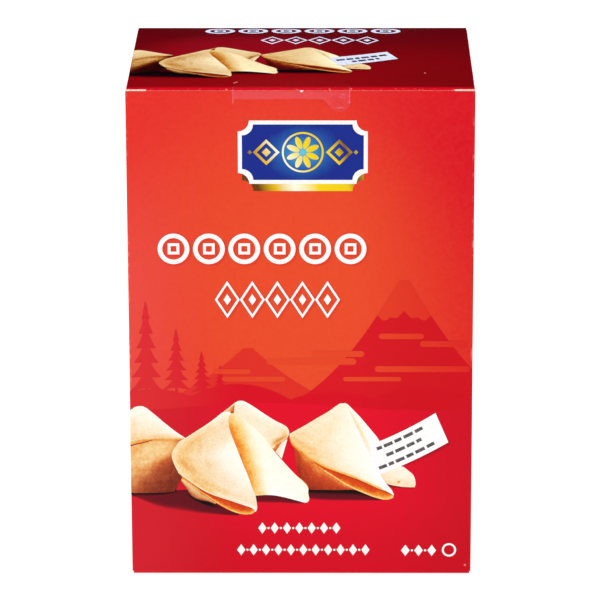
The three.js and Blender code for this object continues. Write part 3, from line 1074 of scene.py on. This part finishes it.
def ground_shadows(shapes):
    """Shade on the ground: black where a cookie touches it, and sharp along the front."""
    facet(shapes, 0,
          [(-80, 33.6), (-73, 33.2), (-65, 33), (-57, 33), (-49, 33.5), (-47.5, 34.2), (-42, 34),
           (-38, 30.8), (-33, 29), (-28, 26), (-24, 25)],
          [(-80, 32.4), (-73, 32), (-65, 31.6), (-61.5, 30.2), (-57.6, 28.4), (-53.4, 26.9), (-49.2, 26),
           (-43, 25), (-36.7, 24.4), (-30.5, 24), (-24, 23.8)],
          (0.8, 0.72, 0.7, 0.7, 0.7, 0.7, 0.68, 0.6, 0.4, 0.0),
          (-0.4, -0.3, -0.1, 0.0, 0.05, 0.08, 0.1, 0.1),
          ovals=((0.3, (-38, 30), (9, 2.2), -0.45),), cells=(48, 18))
    facet(shapes, 1,
          [(-77, 35.2), (-73, 35.6), (-65, 36), (-57, 36), (-51, 36), (-47.8, 35.4)],
          [(-77, 33.6), (-73, 32.2), (-65, 31.8), (-59, 31.6), (-52, 31.9), (-47.6, 33)],
          (1.0, 1.0, 1.0, 1.0, 1.0, 0.95, 0.6), (-0.7, 0.0, 0.0, 0.0, 0.0, 0.0, 0.0, 0.0), cells=(32, 9))
    facet(shapes, 0,
          [(-18, 32.8), (-13, 33), (-8, 32.6), (-3, 31.4), (2.4, 29.8)],
          [(-17.6, 29), (-13, 28.8), (-8, 28.8), (-3, 28.6), (0.4, 28.8)],
          (0.85, 0.8, 0.76, 0.75, 0.74, 0.7, 0.5, 0.0), cells=(24, 12))
    facet(shapes, 0,
          [(1, 35.2), (10, 35), (20, 34.8), (26, 33.4), (31, 31.2)],
          [(1.6, 30.8), (6.7, 30), (15, 29.7), (23.3, 29.7), (30.8, 30)],
          (1.0, 1.0, 1.0, 0.96, 0.88, 0.82, 0.8, 0.74, 0.5, 0.0), cells=(32, 14))
    facet(shapes, 0, [(32.8, 37.4), (38, 36.6), (43.3, 36)], [(33.6, 35), (38, 34.8), (43, 34.8)],
          (0.9, 0.85, 0.7, 0.4, 0.0), cells=(12, 8))
    facet(shapes, 0,
          [(36, 44), (44, 47.8), (50, 50.6), (56.2, 54.2)],
          [(37.4, 41.4), (45, 44.8), (51.5, 47.8), (57.6, 51.8)],
          (0.45, 0.4, 0.24, 0.08, 0.0), cells=(16, 8))


def lid_ground_shadows(shapes):
    """The same on the lid, with a patch of shade between the left and the middle cookie."""
    ground_shadows(shapes)
    facet(shapes, 2,
          [(-56, 38), (-51, 41), (-47, 46), (-43, 50)],
          [(-54, 35.2), (-49, 35), (-47, 34.6), (-44, 33.6), (-41, 32.6)], (0.6, 0.5, 0.55), cells=(12, 4))


def plain_left_cookie(shapes):
    """The cookie that runs over the fold: a pale top, a ridge, and a body that darkens to the right."""
    outline = [(-84, 50.4), (-75, 59.5), (-68, 64.4), (-65.2, 66.2), (-63.4, 67.7), (-61.5, 68.2),
               (-59.6, 68), (-58, 66.8), (-55.9, 65), (-52, 61.5), (-47.6, 57.8), (-44, 55.3)]
    ridge = [(-84, 50), (-75, 53), (-65.5, 54), (-60, 54.8), (-52, 55.2), (-44, 55.1)]
    fold = [(-84, 49.6), (-75, 51.4), (-65.5, 52.3), (-60, 53.7), (-56.8, 54.4), (-51, 54.2), (-44, 54.9)]
    foot = [(-84, 48), (-81, 38.5), (-73, 33.9), (-65.5, 33.1), (-57, 33.1), (-51, 33.3), (-48.2, 33.9),
            (-47.3, 36), (-46, 38.6), (-44, 45)]
    facet(shapes, 0, foot, fold,
          (0.0, 0.0, 0.0, 0.0, 0.0, 0.0, 0.0, 0.02, 0.1, 0.12), (-0.1, 0.0, 0.0, 0.0, 0.0, 0.0, 0.0),
          slant=(-109.6, 23.5, (0.4, 0.46, 0.52, 0.6, 0.66, 0.75, 0.81, 0.84, 0.865, 0.885, 0.9)),
          glow=(0.1, 0.1, 0.15, 0.3, 0.42, 0.42),
          ovals=((-0.2, (-51.5, 51), (11.5, 5)), (-0.12, (-49.5, 53.4), (8, 3.6)),
                 (-0.14, (-56.5, 46.4), (8, 3.2), 0.4), (0.05, (-63.5, 48), (5, 5)),
                 (-0.05, (-57, 51), (10, 3))))
    facet(shapes, 1, fold, ridge,
          (0.52, 0.5, 0.44), (-0.12, -0.08, -0.03, 0.03, 0.05, 0.02), glow=(0.7, 0.7))
    facet(shapes, 1, ridge, outline,
          (0.37, 0.28, 0.21, 0.18, 0.14, 0.1, 0.08), (0.04, 0.0, 0.0, 0.0, -0.04), glow=(0.3, 0.3),
          ovals=((0.12, (-52, 56), (9, 1.6)), (0.08, (-64, 60), (4, 8))))


def left_cookie(shapes):
    """On the walls it has a dark slit along its fold."""
    plain_left_cookie(shapes)
    slit = [(-70, 51.2), (-65.5, 52.3), (-63.4, 53), (-59.7, 53.8), (-56.7, 54.7)]
    rim(shapes, 2, slit, (0.7, 0.3), 0.88)


def lid_left_cookie(shapes):
    """On the lid it is a little taller and browner."""
    plain_left_cookie(shapes)
    tone = shapes.loops.layers.float["tone"]
    for vert in shapes.verts:
        vert.co.y += (vert.co.y - LID_LEFT_BASE) * LID_LEFT_STRETCH
        for loop in vert.link_loops:
            loop[tone] += LID_LEFT_BROWNING


def right_cookie(shapes):
    """The cookie that holds the slip: a small corner behind, underside, opening and a broad face."""
    lip = [(-4.4, 56.4), (-3.9, 54.4), (-3, 52.9), (-1.7, 51.6), (0.4, 49.9), (2.5, 48), (4.6, 46.5),
           (8.7, 44.1), (12.5, 42.5), (16.7, 40.8), (20.8, 39.2), (24.2, 37.7), (27.5, 36.1), (30.8, 34.6),
           (33.3, 33.5), (35.2, 32.2)]
    outline = [(-4.4, 57), (-1.7, 58.6), (2.5, 61.1), (6.7, 63.8), (10.8, 66.3), (13.7, 68.6), (15.2, 69.4),
               (16.6, 69.5), (18.2, 66.5), (20, 62.5), (22, 58), (24, 53.6), (26, 49), (28.5, 44),
               (30.4, 40.4), (32.2, 37.3), (33.8, 35.4), (35, 33.8), (35.5, 32.4)]
    inner_lip = [(5, 45.3), (8.7, 42.6), (12.9, 39.8), (17.1, 37), (21.2, 34.9), (25.4, 33.1), (28.3, 32),
                 (31.7, 31.2), (34, 31.5), (35.3, 32.2)]
    facet(shapes, 0,
          [(29.5, 39), (31.5, 37.6), (33.4, 36.6), (36.7, 35.9), (40, 35.5), (43.2, 35.4)],
          [(30, 41.3), (33.7, 42.9), (36.7, 43.8), (38.6, 43.9), (40.8, 42.3), (42.7, 40.5), (43.5, 38.7),
           (43.7, 36.6), (43.3, 35.5)],
          (0.3, 0.22, 0.16, 0.12), (0.12, 0.04, 0.0, 0.02, 0.06), glow=(0.3, 0.3),
          ovals=((0.5, (37.3, 37.6), (0.9, 0.9)),))
    facet(shapes, 1,
          [(-4.4, 54.8), (-3.2, 52.5), (-2.5, 50), (-2.1, 47), (-1.8, 44), (-1, 41), (0.6, 37), (3, 34.6),
           (8, 34.4), (14, 34.3), (20, 34.4), (23.5, 33.4)],
          [(-4.4, 55.4), (-1.7, 51.8), (0.4, 50), (2.5, 48), (5, 46.2), (7, 44), (9, 42.4), (12.9, 39.6),
           (17.1, 36.8), (21.2, 34.7), (24, 33.4)],
          (0.83, 0.82, 0.81, 0.77, 0.7, 0.62, 0.56), (-0.04, -0.02, 0.0, 0.02, 0.04, 0.0, -0.04, -0.06),
          glow=(0.7, 0.7), ovals=((0.05, (-0.8, 43), (1.6, 9)),))
    facet(shapes, 2, outline[7:14],
          [(16.7, 69.5), (17.8, 68.8), (19, 67.6), (22.5, 63.8), (26.2, 59.2), (29.6, 54.6), (31, 50)],
          (0.26, 0.26, 0.12, 0.08, 0.06, 0.06), (-0.06, 0.02, 0.0, -0.12, -0.3), glow=(0.6, 0.6))
    facet(shapes, 3, inner_lip, [(5, 46.4), *lip[7:]],
          (0.58, 0.66, 0.72, 0.74, 0.78, 0.86), (0.06, 0.03, 0.0, 0.0, -0.12), glow=(1.0, 1.0))
    rim(shapes, 4, [(8.7, 42.5), *inner_lip[2:]], (0.5, 0.9), 0.4)
    facet(shapes, 5, lip, outline,
          (0.39, 0.31, 0.27, 0.24, 0.23, 0.22, 0.2, 0.18),
          (0.04, 0.05, 0.02, -0.07, -0.14, -0.18, -0.22, -0.26), glow=(0.55, 0.55),
          ovals=((0.14, (1, 53), (6, 2), -0.6), (0.1, (9, 48.4), (6, 1.3), -0.5),
                 (0.08, (11, 58), (1.6, 1.6)), (0.08, (-1, 57), (4, 2), 0.4)))
    rim(shapes, 6, lip[:11], (1.0, 0.2), 0.52)
    rim(shapes, 7, raised(lip[1:14], 0.6), (0.5, 0.8), 0.42)


def middle_cookie(shapes):
    """The foremost cookie: a back flap, a right lobe that glows inside the crease, and a left lobe whose
    lip stands open over its underside."""
    groove = [(-26.6, 65.2), (-27.4, 63.6), (-27.6, 61.5), (-27.1, 58.6), (-26, 55.2), (-24.3, 50.7),
              (-22.3, 45.2), (-20.2, 39.8), (-18.6, 34.9), (-17.5, 32), (-17, 28.7), (-16.9, 26.8),
              (-17.4, 25.5)]
    lip = [(-45.6, 40), (-43, 38.1), (-40.9, 36.5), (-38.8, 35), (-36.3, 33.5), (-33.8, 32.3), (-30.5, 31.1),
           (-26.3, 29.7), (-22.2, 28.2), (-19.2, 27.2), (-17.9, 26.1)]
    inner_lip = [(-45.6, 39), (-43, 37.3), (-40.5, 35.4), (-38, 33.4), (-35.5, 31.8), (-33, 30),
                 (-30.5, 28.4), (-28, 27), (-25.5, 25.8), (-22.2, 25), (-19.2, 25.1), (-17.9, 25.9)]
    left_edge = [(-27, 66), (-29.7, 65.8), (-32, 63.9), (-35.9, 60.9), (-40, 58.1), (-44.2, 55.3),
                 (-46.3, 54.1), (-47.8, 52), (-48.9, 50.2), (-49.4, 48.6), (-49.2, 46.8), (-48.2, 44.1),
                 (-47.2, 42), (-46.4, 40.9), *lip, (-17.6, 25.5)]
    facet(shapes, 0, [(-28.2, 66), (-25.7, 65.5)], [(-27.8, 66.5), (-24.7, 69.1)],
          (0.78, 0.7, 0.74), (-0.3, 0.02), glow=(0.5, 0.5), cells=(8, 6))
    facet(shapes, 0, [(-11, 50.4), (-9.6, 49.7)], [(-9, 53.5), (-6.9, 54.2)],
          (0.66, 0.62, 0.56), (-0.06, 0.12), glow=(0.7, 0.7), cells=(6, 8))
    facet(shapes, 1, [(-9.8, 49.8), (-8.6, 48.4), (-7.4, 47)], [(-7.4, 53.6), (-6.4, 54.2), (-5.2, 55)],
          (0.24, 0.22, 0.2), (0.04, 0.0, -0.2), cells=(8, 8))
    facet(shapes, 1,
          [(-29.4, 65.6), (-27.8, 66.4), (-26.2, 67.8), (-24.7, 69.1)],
          [(-29.6, 65.9), (-28, 67.1), (-26.3, 68.6), (-24.4, 70.1)],
          (0.44, 0.3), glow=(0.3, 0.3), cells=(12, 4))
    facet(shapes, 2,
          [(-25.6, 65.2), (-22, 62.6), (-17.5, 58.6), (-13.8, 55), (-11, 51), (-9.4, 53), (-8, 53.6),
           (-6.6, 54.2), (-5.2, 55.4)],
          [(-25, 69.5), (-24.2, 70.1), (-23, 70.4), (-21.3, 70), (-18, 68), (-13.8, 65), (-9.7, 62.3),
           (-7.9, 61.4), (-6, 60.3), (-5.1, 59.4), (-4.6, 58.2), (-4.5, 57)],
          (0.2, 0.2, 0.18, 0.14, 0.06), (0.02, 0.0, 0.0, 0.04, 0.1, 0.12), glow=(0.3, 0.3),
          ovals=((0.3, (-8.6, 54.4), (4, 1.8), 0.5), (0.12, (-6, 57), (1.6, 3))))
    facet(shapes, 3, groove[1:10],
          [(-26.5, 65.3), (-24.5, 65.2), (-22.2, 63.3), (-18, 59.6), (-14.2, 55.8), (-10.5, 50.4),
           (-7.1, 46.2), (-4, 42.6), (-1.7, 40.1), (0.4, 38.4), (2.2, 36.4), (2.8, 34.8), (2.5, 33),
           (3, 31.9), (3, 30.4), (2.5, 29.3), (1.2, 29.2), (-1.5, 30), (-5.8, 31.2), (-10, 32.1),
           (-13.8, 32.3), (-17.4, 32)],
          (0.6, 0.56, 0.51, 0.44, 0.37, 0.28, 0.2, 0.14, 0.09, 0.06),
          (-0.24, -0.03, 0.02, 0.02, 0.01, 0.0, -0.03, -0.1, -0.28), reach=10.0, glow=(1.0, 1.0),
          ovals=((0.16, (0.6, 38.2), (2.6, 0.9), -0.8), (0.1, (1.6, 31.5), (2, 2.4)),
                 (0.12, (-15.5, 33), (3, 1.4))),
          cells=(56, 28))
    rim(shapes, 4, [(-4.6, 43.3), (-1.7, 40.2), (0.4, 38.4), (2.2, 36.4), (2.8, 34.8), (2.6, 33.2)],
        (0.1, 0.7), 0.42)
    facet(shapes, 4,
          [(-46, 38.2), (-44.7, 36.2), (-43.6, 34.5), (-42.6, 32.8), (-41.2, 31.4), (-38.8, 30.3),
           (-35.5, 29.6), (-33, 28.6)],
          [(-45.6, 38.8), (-43, 36.9), (-40.5, 34.8), (-38, 32.7), (-35.5, 31.1), (-32.6, 29)],
          (0.82, 0.68, 0.56, 0.5, 0.46), (-0.12, -0.04, 0.0, 0.02, 0.04))
    facet(shapes, 5, inner_lip, lip,
          (0.56, 0.68, 0.73, 0.76, 0.82), (-0.14, -0.04, 0.01, 0.0, 0.0, -0.08), glow=(1.0, 1.0))
    rim(shapes, 6, inner_lip, (0.4, 0.6), 0.46)
    facet(shapes, 7, left_edge, groove,
          (0.22, 0.31, 0.36, 0.35, 0.31, 0.28, 0.26, 0.22, 0.17, 0.11, 0.06, 0.04, 0.03),
          (-0.14, -0.08, -0.01, 0.03, 0.04, 0.05, 0.02, -0.04, -0.07, -0.12, -0.15), reach=24.0,
          glow=(0.6, 0.45, 0.25, 0.2, 0.2, 0.2), cells=(64, 32),
          ovals=((0.1, (-43.5, 44), (8, 3), -0.8), (0.1, (-33, 35.6), (9, 2.2), -0.5),
                 (0.18, (-36.5, 34.9), (9, 2.4), -0.72), (0.09, (-38.7, 51.5), (1.8, 6)),
                 (-0.07, (-36.9, 49), (1.2, 7)), (0.06, (-42, 53), (5, 2.4), 0.6),
                 (0.07, (-35.2, 44.4), (1.2, 4))))
    rim(shapes, 8, raised([(-47, 41.2), *lip[:-2]], 0.6), (0.5, 0.4), 0.3, glow=0.4)


def cookie_finish(name, crust, inside, mottling):
    """Baked wafer in print: browning along one row of inks outside, along a warmer one where it glows."""
    finish, shade, point, x, _, z = pack_finish(name)
    toast, glow, streak = [painted(shade, attribute) for attribute in SHADING]
    banded = shade.node("ShaderNodeCombineXYZ", sockets={0: x * 0.07, 1: streak * 0.9, 2: z * 0.07})
    bands = (speckle(shade, banded, 1.0, 3.0) - 0.5) * STREAKS
    crumb = (speckle(shade, point, 3.4, 3.0) + speckle(shade, point, 0.9, 2.0) * 1.2 - 1.1) * mottling
    specks = speckle(shade, point, 1.3).rising(0.66, 0.78) * (1.0 - toast) * 0.12
    swayed = toast + (bands + crumb) * (toast.rising(0.0, 0.3) - toast.rising(0.6, 0.9) * 0.6 + 0.3) + specks
    baked, glowing = [
        swayed.ramp([(share, ink(*colour)) for share, *colour in inks]) for inks in (crust, inside)]
    printed_surface(shade, point, glow.mixed(baked, glowing))
    return finish


# Each row holds how brown the wafer is, and the ink's screen colour there.
CRUST = (
    (0.0, 255, 255, 252), (0.12, 254, 247, 232), (0.25, 250, 230, 202), (0.4, 240, 207, 156),
    (0.52, 230, 174, 114), (0.62, 214, 140, 86), (0.72, 189, 105, 63), (0.82, 158, 76, 50),
    (0.9, 128, 54, 40), (1.0, 62, 30, 32))
INSIDE = (
    (0.0, 255, 255, 252), (0.12, 255, 248, 224), (0.25, 254, 232, 186), (0.4, 250, 206, 124),
    (0.52, 244, 168, 66), (0.62, 236, 130, 48), (0.72, 220, 78, 34), (0.82, 196, 60, 32), (0.9, 150, 44, 30),
    (1.0, 92, 24, 26))
LID_CRUST = (
    (0.0, 250, 236, 200), (0.14, 230, 205, 160), (0.3, 216, 184, 136), (0.46, 190, 144, 82),
    (0.6, 142, 88, 40), (0.72, 104, 52, 24), (0.82, 66, 26, 16), (1.0, 20, 8, 12))
LID_INSIDE = (
    (0.0, 250, 236, 196), (0.14, 231, 204, 150), (0.3, 221, 182, 116), (0.46, 202, 138, 52),
    (0.6, 172, 84, 16), (0.72, 132, 26, 10), (0.82, 94, 8, 8), (1.0, 34, 6, 10))
cookie_ink = cookie_finish("cookie_ink", CRUST, INSIDE, mottling=0.14)
lid_cookie_ink = cookie_finish("lid_cookie_ink", LID_CRUST, LID_INSIDE, mottling=0.2)

PICTURE = (  # how each is drawn on the walls and on the lid, and its lowest layer
    ("ground_shadows", ground_shadows, lid_ground_shadows, 6),
    ("left_cookie", left_cookie, lid_left_cookie, 9),
    ("right_cookie", right_cookie, right_cookie, 8),
    ("middle_cookie", middle_cookie, middle_cookie, 12))
LID_ART_SCALE = (0.862, 0.928)  # the lid repeats the front's picture at this size
LID_ART_SHIFT = (-11.3, -58.4)
LID_ART_END = (-LID_HALF_WIDTH - LID_ART_SHIFT[0]) / LID_ART_SCALE[0]  # it is cut off at the lid's left side


def on_lid(x, y, lift):
    """A point of a print on the lid."""
    return x, y, HEIGHT + lid_rise(x, y) + lift


def picture_on_lid(x, z, lift):
    """Where a point of the front's picture lies in its smaller copy on the lid."""
    return on_lid(x * LID_ART_SCALE[0] + LID_ART_SHIFT[0], z * LID_ART_SCALE[1] + LID_ART_SHIFT[1], lift)


for side, place, ground, finish in (
        ("front", on_walls, ground_ink, cookie_ink), ("back", on_back, ground_ink, cookie_ink),
        ("lid", picture_on_lid, lid_print, lid_cookie_ink)):
    for name, draw, draw_small, lowest in PICTURE:
        shapes = new_print(SHADING)
        drawing = draw_small if side == "lid" else draw
        drawing(shapes)
        bmesh.ops.remove_doubles(shapes, verts=shapes.verts, dist=MERGED)
        if side == "lid":
            everything = [*shapes.verts, *shapes.edges, *shapes.faces]
            bmesh.ops.bisect_plane(
                shapes, geom=everything, plane_co=(LID_ART_END, 0, 0), plane_no=(-1, 0, 0), clear_outer=True)
        else:
            crease(shapes)
        used = ground if draw == ground_shadows else finish
        lay_print(name + "_" + side, shapes, place, used, lowest)

# ==== paper slip ====
# A white slip sticks out of the right-hand cookie, a little bent. Its message is only hinted at, by
# broken grey rules, three on the walls and two on the lid. Its left end fades into the highlight.

SLIP = ((26.1, 52.6), (51.1, 65.5), (56.1, 53.7), (27.2, 39.5))
LID_SLIP = ((25.2, 52.0), (51.1, 62.4), (55.8, 51.2), (29.6, 40.0))
SLIP_SAG = 0.8
RULES = ((0.80, 0.10, 0.80), (0.50, 0.22, 0.75), (0.20, 0.10, 0.91))  # height on the slip, start and end
LID_RULES = ((0.62, 0.07, 0.92), (0.30, 0.28, 0.74))
WORDS = (2.9, 3.9, 3.2, 2.1, 3.6)
WORD_GAP = 0.9
SHORTEST_WORD = 1.5
RULE_STROKE = 1.3
LID_RULE_STROKE = 2.2
SLIP_CELLS = (14, 5)
SLIP_LAYER, RULE_LAYER = 16, 18


def slip_finish(name, darkest, palest):
    """Paper, or grey ink on it, with faint fibres."""
    finish, shade, point, *_ = pack_finish(name)
    fibres = speckle(shade, point, 1.2, 4.0).rising(0.3, 0.8)
    printed_surface(shade, point, fibres.mixed(palest, darkest))
    return finish


paper = slip_finish("slip_paper", rgb(246, 244, 242), rgb(255, 255, 255))
lid_paper = slip_finish("lid_slip_paper", rgb(196, 202, 226), rgb(220, 226, 243))
grey_ink = slip_finish("grey_ink", ink(124, 116, 118), ink(78, 70, 74))
lid_grey_ink = slip_finish("lid_grey_ink", ink(88, 84, 100), ink(52, 48, 62))


def on_slip(corners, along, up):
    """A point of the slip with those corners, at shares of its length and of its height."""
    head_left, head_right, foot_right, foot_left = [Vector(corner) for corner in corners]
    place = foot_left.lerp(foot_right, along).lerp(head_left.lerp(head_right, along), up)
    return place - Vector((0, SLIP_SAG * 4 * along * (1 - along)))


for side, place, corners, rules, stroke, finish, rule_ink in (
        ("front", on_walls, SLIP, RULES, RULE_STROKE, paper, grey_ink),
        ("back", on_back, SLIP, RULES, RULE_STROKE, paper, grey_ink),
        ("lid", picture_on_lid, LID_SLIP, LID_RULES, LID_RULE_STROKE, lid_paper, lid_grey_ink)):
    shapes = new_print()
    bmesh.ops.create_grid(shapes, x_segments=SLIP_CELLS[0], y_segments=SLIP_CELLS[1], size=0.5)
    for vert in shapes.verts:
        vert.co = (*on_slip(corners, vert.co.x + 0.5, vert.co.y + 0.5), 0)
    lay_print("slip_" + side, shapes, place, finish, SLIP_LAYER)
    shapes = new_print()
    for up, start, end in rules:
        first, last = on_slip(corners, start, up), on_slip(corners, end, up)
        length = (last - first).length
        gone, number = 0.0, round(up * 10)
        while gone < length - SHORTEST_WORD:
            word = min(WORDS[number % len(WORDS)], length - gone)
            ends = [start + (end - start) * past / length for past in (gone, gone + word)]
            left, right = [on_slip(corners, along, up) for along in ends]
            turn = atan2(right.y - left.y, right.x - left.x)
            placed = Matrix.Translation((*left.lerp(right, 0.5), 0)) @ Matrix.Rotation(turn, 4, "Z")
            placed = placed @ Matrix.Diagonal((word, stroke, 1, 1))
            bmesh.ops.create_grid(shapes, x_segments=3, y_segments=1, size=0.5, matrix=placed)
            gone += word + WORD_GAP
            number += 1
    lay_print("slip_rules_" + side, shapes, place, rule_ink, RULE_LAYER)

# ==== white ornaments on the lid ====
# The lid repeats the two rows of ornament, in line with its smaller picture. They are printed in the
# same white, painted here a little darker and bluer as painted shade on the darker lid.

LID_COIN_ROW = (-38.0, 37.8, 47.3, 33.7)
LID_LOZENGE_ROW = (-16.0, 29.9, 27.7, 12.8)

# A darker, bluer copy of the white ink: painted shade.
lid_white_ink = white_finish("lid_white_ink", rgb(222, 232, 255), rgb(196, 210, 240))

shapes = new_print()
coin_row(shapes, *LID_COIN_ROW)
lozenge_row(shapes, *LID_LOZENGE_ROW)
lay_print("ornament_print_lid", shapes, on_lid, lid_white_ink, lowest=2)
